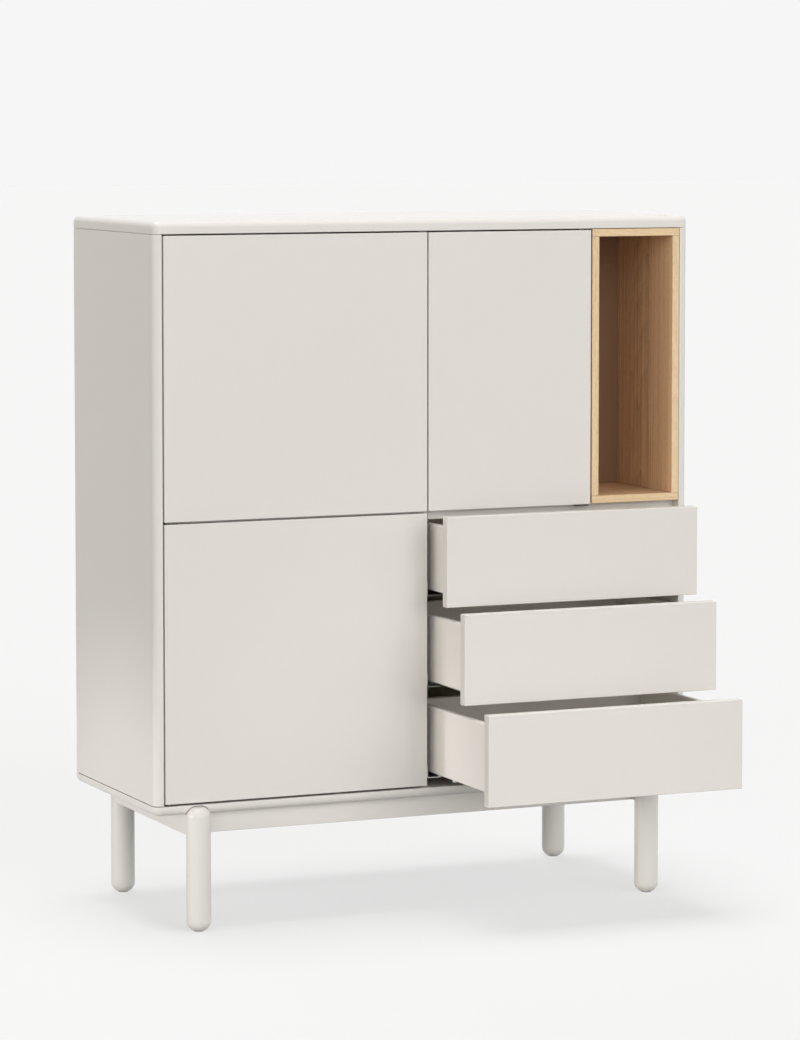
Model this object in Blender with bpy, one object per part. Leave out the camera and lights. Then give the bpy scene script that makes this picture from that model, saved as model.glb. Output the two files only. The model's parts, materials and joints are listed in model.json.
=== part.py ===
"""Tall sideboard: a lacquered cabinet with inset fronts and an oak niche, on a frame with four round legs.

Sizes are in metres. Inside the script a place is given in the cabinet's own directions: X from the left outer
face, Y from the front face towards the back and Z up from the floor. The drawers stand drawn out in steps.
"""

import math

import bmesh
import bpy

# Overall size of the cabinet, without the drawn drawers
WIDTH = 1.000
DEPTH = 0.395
HEIGHT = 1.192

# Boards of the carcass
SIDE_THICK = 0.017
TOP_THICK = 0.021
BOTTOM_THICK = 0.0166
UNDERSIDE_HEIGHT = 0.197
DIVIDER_THICK = 0.017
NICHE_DIVIDER_THICK = 0.016
SHELF_THICK = 0.017
FIXED_SHELF_HEIGHT = 0.692
CORNER_RADIUS = 0.014
TOP_EDGE_RADIUS = 0.010
BOTTOM_EDGE_RADIUS = 0.012
BACK_THICK = 0.005
BACK_RECESS = 0.003

# Loose shelves behind the doors
LOOSE_SHELF_SETBACK = 0.040
LOOSE_SHELF_PLAY = 0.0008
LOOSE_SHELF_BACK_SPACE = 0.005
UPPER_SHELF_RISE = 0.238
LOWER_SHELF_RISE = 0.225

# Doors and drawer fronts
FRONT_THICK = 0.018
FRONT_GAP = 0.0025
BOTTOM_GAP = 0.0034
ROW_GAP = 0.0035
UPPER_FRONT_LAP = 0.001
FRONT_EDGE_RADIUS = 0.001
FRONT_BACK_SPACE = 0.003

# Oak niche beside the upper middle door
NICHE_WIDTH = 0.1693
NICHE_DEPTH = 0.218
NICHE_BOARD = 0.013
NICHE_BACK_THICK = 0.008
NICHE_GAP = 0.001

# Pivots of the doors
PIVOT_INSET = 0.008
PIVOT_BEHIND_FACE = 0.0055
PIN_RADIUS = 0.002
PIN_CLEARANCE = 0.0003
PIN_REACH = 0.010
PLATE_THICK = 0.002
PLATE_FACE_INSET = 0.0015
PLATE_BEFORE_PIN = 0.005
PLATE_BEHIND_PIN = 0.017
TONGUE_OFFSET = 0.0015
TONGUE_LENGTH = 0.025

# Push latches of the doors
LATCH_WIDTH = 0.0125
LATCH_HEIGHT = 0.016
LATCH_LENGTH = 0.050
LATCH_SETBACK = 0.003
LATCH_BELOW_DOOR_TOP = 0.060
PLUNGER_RADIUS = 0.004
PLUNGER_LENGTH = 0.040
PLUNGER_CLEARANCE = 0.0004
PLUNGER_TRAVEL_IN = 0.003

# Drawers, and how far each is drawn out
TOP_DRAWER_OPENING = 0.076
MIDDLE_DRAWER_OPENING = 0.148
BOTTOM_DRAWER_OPENING = 0.244
DRAWER_WALL = 0.012
DRAWER_WALL_RISE = 0.020
DRAWER_WALL_DROP = 0.020
DRAWER_WALL_ROUND = 0.003
DRAWER_SIDE_SPACE = 0.006
DRAWER_BACK_SPACE = 0.024
DRAWER_BOTTOM_THICK = 0.005

# Drawer runners of folded sheet steel
RUNNER_SHEET = 0.0015
RUNNER_DROP = 0.011
RUNNER_FLANGE = 0.024
RUNNER_TRACK_WIDTH = 0.010
RUNNER_TRACK_SPACE = 0.005
RUNNER_SIDE_PLAY = 0.0006
RUNNER_CAP_LIFT = 0.002
RUNNER_UNDER_BOX = 0.0005
RUNNER_SETBACK = 0.002
RUNNER_BACK_SPACE = 0.029

# Legs and the frame between them
LEG_RADIUS = 0.021
LEG_INSET = 0.078
LEG_END_ROUND = 0.0145
FRONT_LEG_TOP = 0.211
LEG_NOTCH_SPACE = 0.0012
GLIDE_RADIUS = 0.0085
GLIDE_HEIGHT = 0.002
BASE_RAIL_HEIGHT = 0.035
BASE_BEAM_WIDTH = 0.037
BASE_CROSS_THICK = 0.020

# Space left between pieces that touch
SEAT = 0.0003

# Steps of the round forms
CORNER_STEPS = 6
EDGE_STEPS = 5
LEG_SIDES = 32
LEG_ROUND_STEPS = 6
PIN_SIDES = 16
SMOOTH_ANGLE = math.radians(35)
SAME_PLACE = 1e-6

# Places that follow from the sizes
DRAWER_OPENINGS = (TOP_DRAWER_OPENING, MIDDLE_DRAWER_OPENING, BOTTOM_DRAWER_OPENING)
FRONT_PLANE = (max(DRAWER_OPENINGS) - DEPTH) / 2
INNER_SETBACK = FRONT_THICK + FRONT_BACK_SPACE
BACK_FRONT = DEPTH - BACK_RECESS - BACK_THICK
INNER_END = BACK_FRONT - SEAT
BOTTOM_TOP = UNDERSIDE_HEIGHT + BOTTOM_THICK
TOP_UNDERSIDE = HEIGHT - TOP_THICK
INNER_LEFT = SIDE_THICK
INNER_RIGHT = WIDTH - SIDE_THICK
DIVIDER_LEFT = (WIDTH - DIVIDER_THICK) / 2
DIVIDER_RIGHT = (WIDTH + DIVIDER_THICK) / 2
NICHE_RIGHT = INNER_RIGHT - NICHE_GAP
NICHE_LEFT = NICHE_RIGHT - NICHE_WIDTH
NICHE_BOTTOM = FIXED_SHELF_HEIGHT + SEAT
NICHE_TOP = TOP_UNDERSIDE - NICHE_GAP
NICHE_DIVIDER_RIGHT = NICHE_LEFT - SEAT
NICHE_DIVIDER_LEFT = NICHE_DIVIDER_RIGHT - NICHE_DIVIDER_THICK
UPPER_FRONT_BOTTOM = FIXED_SHELF_HEIGHT - UPPER_FRONT_LAP
UPPER_FRONT_TOP = TOP_UNDERSIDE - FRONT_GAP
LOWER_FRONT_BOTTOM = BOTTOM_TOP + BOTTOM_GAP
LOWER_FRONT_TOP = UPPER_FRONT_BOTTOM - ROW_GAP
LEFT_FRONTS_LEFT = INNER_LEFT + FRONT_GAP
LEFT_FRONTS_RIGHT = (WIDTH - FRONT_GAP) / 2
RIGHT_FRONTS_LEFT = (WIDTH + FRONT_GAP) / 2
RIGHT_FRONTS_RIGHT = INNER_RIGHT - FRONT_GAP
MIDDLE_DOOR_RIGHT = NICHE_LEFT - FRONT_GAP
LEFT_PIVOT_X = LEFT_FRONTS_LEFT + PIVOT_INSET
MIDDLE_PIVOT_X = MIDDLE_DOOR_RIGHT - PIVOT_INSET
PLATE_BOTTOM = UPPER_FRONT_BOTTOM - (ROW_GAP + PLATE_THICK) / 2
PLATE_TOP = PLATE_BOTTOM + PLATE_THICK
BACK_LEG_Y = DEPTH - LEG_RADIUS


def clear_scene():
    for item in list(bpy.data.objects):
        bpy.data.objects.remove(item, do_unlink=True)


def finish(name, colour, roughness, metallic=0.0):
    """A plain surface: one colour with its gloss."""
    material = bpy.data.materials.new(name)
    material.use_nodes = True
    shader = material.node_tree.nodes["Principled BSDF"]
    shader.inputs["Base Color"].default_value = (*colour, 1.0)
    shader.inputs["Roughness"].default_value = roughness
    shader.inputs["Metallic"].default_value = metallic
    return material


def frame_empty(name, location, parent=None):
    empty = bpy.data.objects.new(name, None)
    empty.location = location
    empty.parent = parent
    bpy.context.collection.objects.link(empty)
    return empty


def add_object(name, mesh_builder, material, parent, location=(0, 0, 0)):
    """Turns a bmesh into a named object under its parent, with its faces outwards."""
    bmesh.ops.recalc_face_normals(mesh_builder, faces=mesh_builder.faces)
    mesh = bpy.data.meshes.new(name)
    mesh_builder.to_mesh(mesh)
    mesh_builder.free()
    mesh.shade_smooth()
    mesh.set_sharp_from_angle(angle=SMOOTH_ANGLE)
    if material:
        mesh.materials.append(material)
    item = bpy.data.objects.new(name, mesh)
    item.parent = parent
    item.location = location
    bpy.context.collection.objects.link(item)
    return item


def box_between(low, high):
    """A box as a bmesh about its own centre, and that centre."""
    builder = bmesh.new()
    bmesh.ops.create_cube(builder, size=1.0)
    size = [b - a for a, b in zip(low, high)]
    bmesh.ops.scale(builder, vec=size, verts=builder.verts)
    centre = [(a + b) / 2 for a, b in zip(low, high)]
    return builder, centre


def less(point, origin):
    return [a - b for a, b in zip(point, origin)]


def board(name, low, high, material, parent, origin=(0, 0, 0)):
    """A square-edged board from its low to its high corner; origin is the parent's place."""
    builder, centre = box_between(low, high)
    return add_object(name, builder, material, parent, less(centre, origin))


def front_panel(name, low, high, material, parent, origin=(0, 0, 0)):
    """A door or drawer front: a board whose edges are all slightly rounded."""
    panel = board(name, low, high, material, parent, origin)
    edge = panel.modifiers.new("softened_edges", "BEVEL")
    edge.width = FRONT_EDGE_RADIUS
    edge.segments = 2
    return panel


def edges_on(builder, axis, value):
    """The edges that lie wholly at one value of an axis."""
    return [
        edge
        for edge in builder.edges
        if all(abs(vertex.co[axis] - value) < SAME_PLACE for vertex in edge.verts)
    ]


def round_edges(builder, edges, radius, steps):
    bmesh.ops.bevel(
        builder,
        geom=edges,
        offset=radius,
        offset_type="OFFSET",
        segments=steps,
        profile=0.5,
        affect="EDGES",
        clamp_overlap=True,
    )


def extruded(outline, axes, start, end):
    """A prism: an outline in two axes, drawn out along the third."""
    third = 3 - sum(axes)
    builder = bmesh.new()
    points = []
    for first, second in outline:
        point = [0.0, 0.0, 0.0]
        point[axes[0]] = first
        point[axes[1]] = second
        point[third] = start
        points.append(builder.verts.new(point))
    face = builder.faces.new(points)
    drawn = bmesh.ops.extrude_face_region(builder, geom=[face])["geom"]
    shift = [0.0, 0.0, 0.0]
    shift[third] = end - start
    moved = [part for part in drawn if isinstance(part, bmesh.types.BMVert)]
    bmesh.ops.translate(builder, vec=shift, verts=moved)
    return builder


def cylinder(radius, length, sides):
    """A cylinder along Z about its own centre."""
    builder = bmesh.new()
    bmesh.ops.create_cone(
        builder,
        cap_ends=True,
        segments=sides,
        radius1=radius,
        radius2=radius,
        depth=length,
    )
    return builder


def combine(target, tool, operation):
    """Cuts the tool from the target, or joins it on; the tool itself is only a guide."""
    tool.hide_render = True
    tool.display_type = "WIRE"
    step = target.modifiers.new(tool.name, "BOOLEAN")
    step.operation = operation
    step.object = tool
    step.solver = "EXACT"


def pin_hole(target, name, place, low, high, parent, origin=(0, 0, 0)):
    """A round hole for a pivot pin, upright at an (x, y) place."""
    radius = PIN_RADIUS + PIN_CLEARANCE
    centre = (place[0], place[1], (low + high) / 2)
    tool = add_object(name, cylinder(radius, high - low, PIN_SIDES), None, parent, less(centre, origin))
    combine(target, tool, "DIFFERENCE")


def sheet_outline(path, thickness):
    """The outline of a sheet folded square along a path, with its thickness on the left of the path."""
    inner = []
    for index, point in enumerate(path):
        before = path[max(index - 1, 0)]
        after = path[min(index + 1, len(path) - 1)]
        offset = [0.0, 0.0]
        for start, end in ((before, point), (point, after)):
            run = (end[0] - start[0], end[1] - start[1])
            length = math.hypot(*run)
            if length < SAME_PLACE:
                continue
            left = (-run[1] / length, run[0] / length)
            for axis in (0, 1):
                if abs(left[axis]) > 0.5:
                    offset[axis] = left[axis] * thickness
        inner.append((point[0] + offset[0], point[1] + offset[1]))
    return list(path) + inner[::-1]


# Carcass


def slab(name, low_z, high_z, rounded_z, radius, material, parent):
    """The top or bottom board: round front corners, and one rim rounded on all sides but the back."""
    builder, centre = box_between((0, 0, low_z), (WIDTH, DEPTH, high_z))
    front, back = -DEPTH / 2, DEPTH / 2
    for side in (-WIDTH / 2, WIDTH / 2):
        upright = set(edges_on(builder, 0, side)) & set(edges_on(builder, 1, front))
        round_edges(builder, list(upright), CORNER_RADIUS, CORNER_STEPS)
    rim = set(edges_on(builder, 2, rounded_z - centre[2])) - set(edges_on(builder, 1, back))
    round_edges(builder, list(rim), radius, EDGE_STEPS)
    return add_object(name, builder, material, parent, centre)


def side_panel(name, low_x, high_x, outer_x, material, parent):
    """A side between the bottom and top boards, with its outer front edge rounded."""
    low = (low_x, 0, BOTTOM_TOP + SEAT)
    high = (high_x, DEPTH, TOP_UNDERSIDE - SEAT)
    builder, centre = box_between(low, high)
    outer = set(edges_on(builder, 0, outer_x - centre[0]))
    front = set(edges_on(builder, 1, -DEPTH / 2))
    round_edges(builder, list(outer & front), CORNER_RADIUS, CORNER_STEPS)
    return add_object(name, builder, material, parent, centre)


def build_carcass(cabinet, lacquer, backing):
    top = slab("top_panel", TOP_UNDERSIDE, HEIGHT, HEIGHT, TOP_EDGE_RADIUS, lacquer, cabinet)
    bottom = slab(
        "bottom_panel", UNDERSIDE_HEIGHT, BOTTOM_TOP, UNDERSIDE_HEIGHT, BOTTOM_EDGE_RADIUS, lacquer, cabinet
    )
    for side, x in (("left", LEG_INSET), ("right", WIDTH - LEG_INSET)):
        cove = turned(dome_profile(FRONT_LEG_TOP, LEG_NOTCH_SPACE) + [(0.0, 0.0)], LEG_SIDES)
        combine(bottom, add_object(f"{side}_leg_cove", cove, None, cabinet, (x, 0, 0)), "DIFFERENCE")
    side_panel("left_side_panel", 0, INNER_LEFT, 0, lacquer, cabinet)
    side_panel("right_side_panel", INNER_RIGHT, WIDTH, WIDTH, lacquer, cabinet)
    inner_low, inner_high = BOTTOM_TOP + SEAT, TOP_UNDERSIDE - SEAT
    board(
        "centre_divider",
        (DIVIDER_LEFT, INNER_SETBACK, inner_low),
        (DIVIDER_RIGHT, INNER_END, inner_high),
        lacquer,
        cabinet,
    )
    board(
        "niche_divider",
        (NICHE_DIVIDER_LEFT, INNER_SETBACK, FIXED_SHELF_HEIGHT + SEAT),
        (NICHE_DIVIDER_RIGHT, INNER_END, inner_high),
        lacquer,
        cabinet,
    )
    board(
        "back_panel",
        (INNER_LEFT + SEAT, BACK_FRONT, inner_low),
        (INNER_RIGHT - SEAT, BACK_FRONT + BACK_THICK, inner_high),
        backing,
        cabinet,
    )
    shelf_low = FIXED_SHELF_HEIGHT - SHELF_THICK
    left_shelf = board(
        "left_fixed_shelf",
        (INNER_LEFT + SEAT, INNER_SETBACK, shelf_low),
        (DIVIDER_LEFT - SEAT, INNER_END, FIXED_SHELF_HEIGHT),
        lacquer,
        cabinet,
    )
    right_shelf = board(
        "right_fixed_shelf",
        (DIVIDER_RIGHT + SEAT, INNER_SETBACK, shelf_low),
        (INNER_RIGHT - SEAT, INNER_END, FIXED_SHELF_HEIGHT),
        lacquer,
        cabinet,
    )
    upper_height = FIXED_SHELF_HEIGHT + UPPER_SHELF_RISE
    lower_height = BOTTOM_TOP + LOWER_SHELF_RISE
    loose_shelf("upper_left_shelf", INNER_LEFT, DIVIDER_LEFT, upper_height, lacquer, cabinet)
    loose_shelf("lower_left_shelf", INNER_LEFT, DIVIDER_LEFT, lower_height, lacquer, cabinet)
    loose_shelf("upper_middle_shelf", DIVIDER_RIGHT, NICHE_DIVIDER_LEFT, upper_height, lacquer, cabinet)
    return top, bottom, left_shelf, right_shelf


def loose_shelf(name, left, right, underside, material, parent):
    low = (left + LOOSE_SHELF_PLAY, LOOSE_SHELF_SETBACK, underside)
    high = (right - LOOSE_SHELF_PLAY, INNER_END - LOOSE_SHELF_BACK_SPACE, underside + SHELF_THICK)
    board(name, low, high, material, parent)


def build_niche(cabinet, oak):
    """A shallow oak box: top and bottom boards run through, sides and back stand between them."""
    low_z, high_z = NICHE_BOTTOM + NICHE_BOARD, NICHE_TOP - NICHE_BOARD
    left, right = NICHE_LEFT + NICHE_BOARD, NICHE_RIGHT - NICHE_BOARD
    side_low, side_high = low_z + SEAT, high_z - SEAT
    board("niche_top_board", (NICHE_LEFT, 0, high_z), (NICHE_RIGHT, NICHE_DEPTH, NICHE_TOP), oak, cabinet)
    board("niche_bottom_board", (NICHE_LEFT, 0, NICHE_BOTTOM), (NICHE_RIGHT, NICHE_DEPTH, low_z), oak, cabinet)
    board("niche_left_board", (NICHE_LEFT, 0, side_low), (left, NICHE_DEPTH, side_high), oak, cabinet)
    board("niche_right_board", (right, 0, side_low), (NICHE_RIGHT, NICHE_DEPTH, side_high), oak, cabinet)
    back_low = (left + SEAT, NICHE_DEPTH - NICHE_BACK_THICK, side_low)
    board("niche_back_board", back_low, (right - SEAT, NICHE_DEPTH, side_high), oak, cabinet)


# Legs and base frame


def dome_profile(top, space):
    """Half outline of a leg's domed end, from its axis down to the floor, grown by a space all round."""
    core = LEG_RADIUS - LEG_END_ROUND
    round_off = LEG_END_ROUND + space
    points = [(0.0, top + space)]
    for step in range(LEG_ROUND_STEPS + 1):
        turn = math.pi / 2 * step / LEG_ROUND_STEPS
        points.append((core + round_off * math.sin(turn), top + space - round_off * (1 - math.cos(turn))))
    points.append((core + round_off, 0.0))
    return points


def foot_profile():
    """Half outline of a leg's lower end with its glide, from the full radius down to the axis."""
    core = LEG_RADIUS - LEG_END_ROUND
    start = math.asin(max(0.0, (GLIDE_RADIUS - core) / LEG_END_ROUND))
    centre = GLIDE_HEIGHT + LEG_END_ROUND * math.cos(start)
    points = []
    for step in range(LEG_ROUND_STEPS, -1, -1):
        turn = start + (math.pi / 2 - start) * step / LEG_ROUND_STEPS
        points.append((core + LEG_END_ROUND * math.sin(turn), centre - LEG_END_ROUND * math.cos(turn)))
    if core > GLIDE_RADIUS:
        points.append((GLIDE_RADIUS, GLIDE_HEIGHT))
    return points + [(GLIDE_RADIUS, 0.0), (0.0, 0.0)]


def turned(profile, sides):
    """A turned piece: the profile spun about Z."""
    builder = bmesh.new()
    points = [builder.verts.new((radius, 0, height)) for radius, height in profile]
    edges = [builder.edges.new(pair) for pair in zip(points, points[1:])]
    bmesh.ops.spin(
        builder,
        geom=points + edges,
        cent=(0, 0, 0),
        axis=(0, 0, 1),
        angle=2 * math.pi,
        steps=sides,
        use_duplicate=False,
    )
    bmesh.ops.remove_doubles(builder, verts=builder.verts, dist=SAME_PLACE)
    return builder


def build_base(cabinet, lacquer):
    frame_top = UNDERSIDE_HEIGHT - SEAT
    frame_low = frame_top - BASE_RAIL_HEIGHT
    half_beam = BASE_BEAM_WIDTH / 2
    for side, x in (("left", LEG_INSET), ("right", WIDTH - LEG_INSET)):
        front_leg = turned(dome_profile(FRONT_LEG_TOP, 0.0)[:-1] + foot_profile(), LEG_SIDES)
        add_object(f"front_{side}_leg", front_leg, lacquer, cabinet, (x, 0, 0))
        back_leg = turned([(0.0, frame_top), (LEG_RADIUS, frame_top)] + foot_profile(), LEG_SIDES)
        add_object(f"back_{side}_leg", back_leg, lacquer, cabinet, (x, BACK_LEG_Y, 0))
        beam = board(
            f"{side}_base_rail",
            (x - half_beam, 0, frame_low),
            (x + half_beam, BACK_LEG_Y, frame_top),
            lacquer,
            cabinet,
        )
        for end, y in (("front", 0), ("back", BACK_LEG_Y)):
            cope = cylinder(LEG_RADIUS + SEAT, 2 * BASE_RAIL_HEIGHT, LEG_SIDES)
            place = (x, y, frame_low + BASE_RAIL_HEIGHT / 2)
            combine(beam, add_object(f"{side}_{end}_cope", cope, None, cabinet, place), "DIFFERENCE")
    left = LEG_INSET + half_beam + SEAT
    right = WIDTH - left
    front = LEG_RADIUS + SEAT
    back = BACK_LEG_Y - front
    front_end, back_start = front + BASE_CROSS_THICK, back - BASE_CROSS_THICK
    board("front_base_rail", (left, front, frame_low), (right, front_end, frame_top), lacquer, cabinet)
    board("back_base_rail", (left, back_start, frame_low), (right, back, frame_top), lacquer, cabinet)


# Doors with their pivots and latches


def door(name, left, right, low, high, pivot_x, material, parent):
    """A hinged front whose parent empty stands on the pivot axis."""
    pivot = (pivot_x, PIVOT_BEHIND_FACE, low)
    hinge = frame_empty(f"{name}_hinge", pivot, parent)
    panel = front_panel(name, (left, 0, low), (right, FRONT_THICK, high), material, hinge, pivot)
    depth = PIN_REACH + PIN_CLEARANCE
    pin_hole(panel, f"{name}_lower_bore", pivot, low - depth, low + depth, hinge, pivot)
    pin_hole(panel, f"{name}_upper_bore", pivot, high - depth, high + depth, hinge, pivot)


def pivot_pin(name, pivot_x, board_face, into_board, board_object, steel, parent):
    """A pin from the top or bottom board into a door; into_board is +1 upwards or -1 downwards."""
    gap = FRONT_GAP if into_board > 0 else BOTTOM_GAP
    ends = (board_face + into_board * PIN_REACH, board_face - into_board * (gap + PIN_REACH))
    low, high = min(ends), max(ends)
    place = (pivot_x, PIVOT_BEHIND_FACE, (low + high) / 2)
    add_object(name, cylinder(PIN_RADIUS, high - low, PIN_SIDES), steel, parent, place)
    depth = PIN_REACH + PIN_CLEARANCE
    pin_hole(board_object, f"{name}_socket", place, board_face - depth, board_face + depth, parent)


def pivot_plate(name, pivot_x, away, pin_low, pin_high, shelf, steel, parent):
    """A flat plate let into the fixed shelf, with a pin that carries the doors above or below it."""
    near, far = pivot_x - away * PLATE_BEFORE_PIN, pivot_x + away * PLATE_BEHIND_PIN
    step = pivot_x + away * TONGUE_OFFSET
    neck = INNER_SETBACK - SEAT
    end = INNER_SETBACK + TONGUE_LENGTH
    outline = [
        (near, PLATE_FACE_INSET),
        (far, PLATE_FACE_INSET),
        (far, end),
        (step, end),
        (step, neck),
        (near, neck),
    ]
    plate = add_object(name, extruded(outline, (0, 1), PLATE_BOTTOM, PLATE_TOP), steel, parent)
    pin = cylinder(PIN_RADIUS, pin_high - pin_low, PIN_SIDES)
    place = (pivot_x, PIVOT_BEHIND_FACE, (pin_low + pin_high) / 2)
    combine(plate, add_object(f"{name}_pin", pin, None, parent, place), "UNION")
    low = (min(step, far) - SEAT, INNER_SETBACK - FRONT_BACK_SPACE, PLATE_BOTTOM - SEAT)
    high = (max(step, far) + SEAT, end + SEAT, FIXED_SHELF_HEIGHT + SHELF_THICK)
    combine(shelf, board(f"{name}_recess", low, high, None, parent), "DIFFERENCE")


def push_latch(name, wall_x, away, door_top, plastic, steel, parent):
    """A latch body on the divider beside the door's free edge, with a plunger that meets the door's back."""
    centre_x = wall_x + away * (SEAT + LATCH_WIDTH / 2)
    centre_z = door_top - LATCH_BELOW_DOOR_TOP
    front = INNER_SETBACK + LATCH_SETBACK
    low = (centre_x - LATCH_WIDTH / 2, front, centre_z - LATCH_HEIGHT / 2)
    high = (centre_x + LATCH_WIDTH / 2, front + LATCH_LENGTH, centre_z + LATCH_HEIGHT / 2)
    body = board(f"{name}_latch_body", low, high, plastic, parent)
    tip = FRONT_THICK + SEAT
    bore_end = tip + PLUNGER_LENGTH + PLUNGER_TRAVEL_IN
    bore_start = front - LATCH_SETBACK
    quarter_turn = (math.pi / 2, 0, 0)
    bore = cylinder(PLUNGER_RADIUS + PLUNGER_CLEARANCE, bore_end - bore_start, PIN_SIDES)
    bore_place = (centre_x, (bore_start + bore_end) / 2, centre_z)
    tool = add_object(f"{name}_latch_bore", bore, None, parent, bore_place)
    tool.rotation_euler = quarter_turn
    combine(body, tool, "DIFFERENCE")
    slide = frame_empty(f"{name}_latch_slide", (centre_x, tip, centre_z), parent)
    rod = cylinder(PLUNGER_RADIUS, PLUNGER_LENGTH, PIN_SIDES)
    plunger = add_object(f"{name}_latch_plunger", rod, steel, slide, (0, PLUNGER_LENGTH / 2, 0))
    plunger.rotation_euler = quarter_turn


def build_doors(cabinet, boards, lacquer, steel, plastic):
    top, bottom, left_shelf, right_shelf = boards
    left, right = LEFT_FRONTS_LEFT, LEFT_FRONTS_RIGHT
    door("upper_left_door", left, right, UPPER_FRONT_BOTTOM, UPPER_FRONT_TOP, LEFT_PIVOT_X, lacquer, cabinet)
    door("lower_left_door", left, right, LOWER_FRONT_BOTTOM, LOWER_FRONT_TOP, LEFT_PIVOT_X, lacquer, cabinet)
    door(
        "upper_middle_door",
        RIGHT_FRONTS_LEFT,
        MIDDLE_DOOR_RIGHT,
        UPPER_FRONT_BOTTOM,
        UPPER_FRONT_TOP,
        MIDDLE_PIVOT_X,
        lacquer,
        cabinet,
    )
    pivot_pin("upper_left_pivot_pin", LEFT_PIVOT_X, TOP_UNDERSIDE, 1, top, steel, cabinet)
    pivot_pin("upper_middle_pivot_pin", MIDDLE_PIVOT_X, TOP_UNDERSIDE, 1, top, steel, cabinet)
    pivot_pin("lower_left_pivot_pin", LEFT_PIVOT_X, BOTTOM_TOP, -1, bottom, steel, cabinet)
    above, below = UPPER_FRONT_BOTTOM + PIN_REACH, LOWER_FRONT_TOP - PIN_REACH
    plate_middle = (PLATE_BOTTOM + PLATE_TOP) / 2
    pivot_plate("left_pivot_plate", LEFT_PIVOT_X, 1, below, above, left_shelf, steel, cabinet)
    pivot_plate("middle_pivot_plate", MIDDLE_PIVOT_X, -1, plate_middle, above, right_shelf, steel, cabinet)
    push_latch("upper_left", DIVIDER_LEFT, -1, UPPER_FRONT_TOP, plastic, steel, cabinet)
    push_latch("lower_left", DIVIDER_LEFT, -1, LOWER_FRONT_TOP, plastic, steel, cabinet)
    push_latch("upper_middle", DIVIDER_RIGHT, 1, UPPER_FRONT_TOP, plastic, steel, cabinet)


# Drawers and their runners


def drawer_walls(name, left, right, low, high, back, material, parent):
    """The two sides and the back of a drawer, folded from one wrapped strip with a rounded upper rim."""
    front = FRONT_THICK + SEAT
    inner = back - DRAWER_WALL
    outline = [
        (left, front),
        (left + DRAWER_WALL, front),
        (left + DRAWER_WALL, inner),
        (right - DRAWER_WALL, inner),
        (right - DRAWER_WALL, front),
        (right, front),
        (right, back),
        (left, back),
    ]
    builder = extruded(outline, (0, 1), low, high)
    rim = set(edges_on(builder, 2, high)) - set(edges_on(builder, 1, front))
    round_edges(builder, list(rim), DRAWER_WALL_ROUND, 2)
    return add_object(name, builder, material, parent)


def mirrored(outline, middle):
    return [(2 * middle - x, z) for x, z in outline]


def build_drawer(number, opening, low, high, materials, cabinet):
    lacquer, lining, steel = materials
    name = f"drawer_{number}"
    slide = frame_empty(f"{name}_slide", (0, -opening, 0), cabinet)
    front_low = (RIGHT_FRONTS_LEFT, 0, low)
    front_panel(f"{name}_front", front_low, (RIGHT_FRONTS_RIGHT, FRONT_THICK, high), lacquer, slide)
    left, right = DIVIDER_RIGHT + DRAWER_SIDE_SPACE, INNER_RIGHT - DRAWER_SIDE_SPACE
    wall_low, wall_high = low + DRAWER_WALL_RISE, high - DRAWER_WALL_DROP
    back = BACK_FRONT - DRAWER_BACK_SPACE
    drawer_walls(f"{name}_walls", left, right, wall_low, wall_high, back, lacquer, slide)

    track_top = wall_low - RUNNER_UNDER_BOX
    cap_under = track_top + SEAT
    cap_top = cap_under + RUNNER_SHEET
    floor = cap_top + SEAT
    inset = DRAWER_WALL + SEAT
    floor_low = (left + inset, FRONT_THICK + SEAT, floor)
    floor_high = (right - inset, back - inset, floor + DRAWER_BOTTOM_THICK)
    board(f"{name}_bottom", floor_low, floor_high, lining, slide)

    wall = DIVIDER_RIGHT + SEAT
    foot = wall_low - RUNNER_DROP
    cap_left = left + DRAWER_WALL + RUNNER_TRACK_SPACE
    track_left = cap_left + RUNNER_SHEET + RUNNER_SIDE_PLAY
    track_right = track_left + RUNNER_TRACK_WIDTH
    cap_right = track_right + RUNNER_SIDE_PLAY + RUNNER_SHEET
    cabinet_path = [
        (wall, foot + RUNNER_FLANGE),
        (wall, foot),
        (track_left + RUNNER_SHEET, foot),
        (track_left + RUNNER_SHEET, track_top - RUNNER_SHEET),
        (track_right - RUNNER_SHEET, track_top - RUNNER_SHEET),
        (track_right - RUNNER_SHEET, foot),
    ]
    cap_low = foot + RUNNER_SHEET + RUNNER_CAP_LIFT
    drawer_path = [
        (cap_right, cap_low),
        (cap_right, cap_top),
        (cap_left, cap_top),
        (cap_left, cap_low),
    ]
    cabinet_rail = sheet_outline(cabinet_path, RUNNER_SHEET)
    drawer_rail = sheet_outline(drawer_path, RUNNER_SHEET)
    middle = (left + right) / 2
    rail_start, rail_end = INNER_SETBACK + RUNNER_SETBACK, BACK_FRONT - RUNNER_BACK_SPACE
    cap_end = back - inset
    for side in ("left", "right"):
        fixed = cabinet_rail if side == "left" else mirrored(cabinet_rail, middle)
        moving = drawer_rail if side == "left" else mirrored(drawer_rail, middle)
        rail = extruded(fixed, (0, 2), rail_start, rail_end)
        add_object(f"{name}_{side}_cabinet_rail", rail, steel, cabinet)
        cap = extruded(moving, (0, 2), FRONT_THICK + SEAT, cap_end)
        add_object(f"{name}_{side}_drawer_rail", cap, steel, slide)


def build_drawers(cabinet, materials):
    count = len(DRAWER_OPENINGS)
    height = (LOWER_FRONT_TOP - LOWER_FRONT_BOTTOM - (count - 1) * ROW_GAP) / count
    for index, opening in enumerate(DRAWER_OPENINGS):
        high = LOWER_FRONT_TOP - index * (height + ROW_GAP)
        build_drawer(index + 1, opening, high - height, high, materials, cabinet)


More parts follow.
